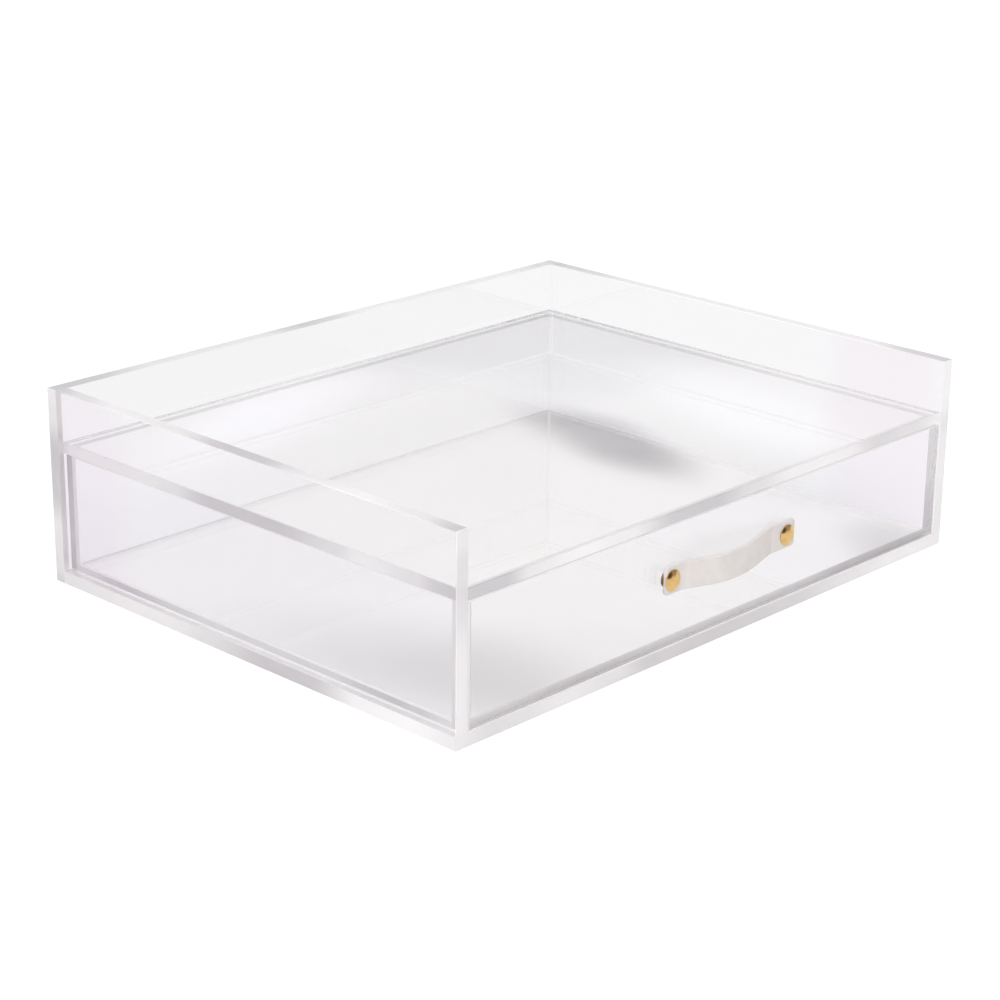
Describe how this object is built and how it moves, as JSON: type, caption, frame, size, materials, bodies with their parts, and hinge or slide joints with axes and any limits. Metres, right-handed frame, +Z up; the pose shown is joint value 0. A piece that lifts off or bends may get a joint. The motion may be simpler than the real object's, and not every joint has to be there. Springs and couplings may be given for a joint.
{
  "type": "letter tray with drawer",
  "caption": "Clear sheet desk organizer with an open letter tray over a sliding drawer, pulled by a leather strap.",
  "frame": {"origin": "centre of the case's underside, on the surface that it stands on", "axes": "+X along the front from left to right, +Y from the front to the back, +Z up"},
  "size_m": [0.318, 0.2577, 0.089],
  "materials": {
    "case_acrylic": "clear polished cast acrylic sheet",
    "drawer_acrylic": "clear polished cast acrylic sheet",
    "strap_leather": "smooth off-white leather, fine grain",
    "brass": "polished"
  },
  "bodies": {
    "case": {"case_base": "case_acrylic", "case_left_wall": "case_acrylic", "case_right_wall": "case_acrylic", "case_back_wall": "case_acrylic", "tray_shelf": "case_acrylic"},
    "drawer": {"drawer_front": "drawer_acrylic", "drawer_left_side": "drawer_acrylic", "drawer_right_side": "drawer_acrylic", "drawer_back": "drawer_acrylic", "drawer_bottom": "drawer_acrylic", "handle_strap": "strap_leather", "strap_screw_left": "brass", "strap_screw_right": "brass", "strap_washer_left": "brass", "strap_washer_right": "brass"}
  },
  "joints": [
    {"name": "drawer_slide", "type": "slide", "parent": "case", "child": "drawer", "axis": [0, -1, 0], "range_m": [0, 0.2]}
  ]
}
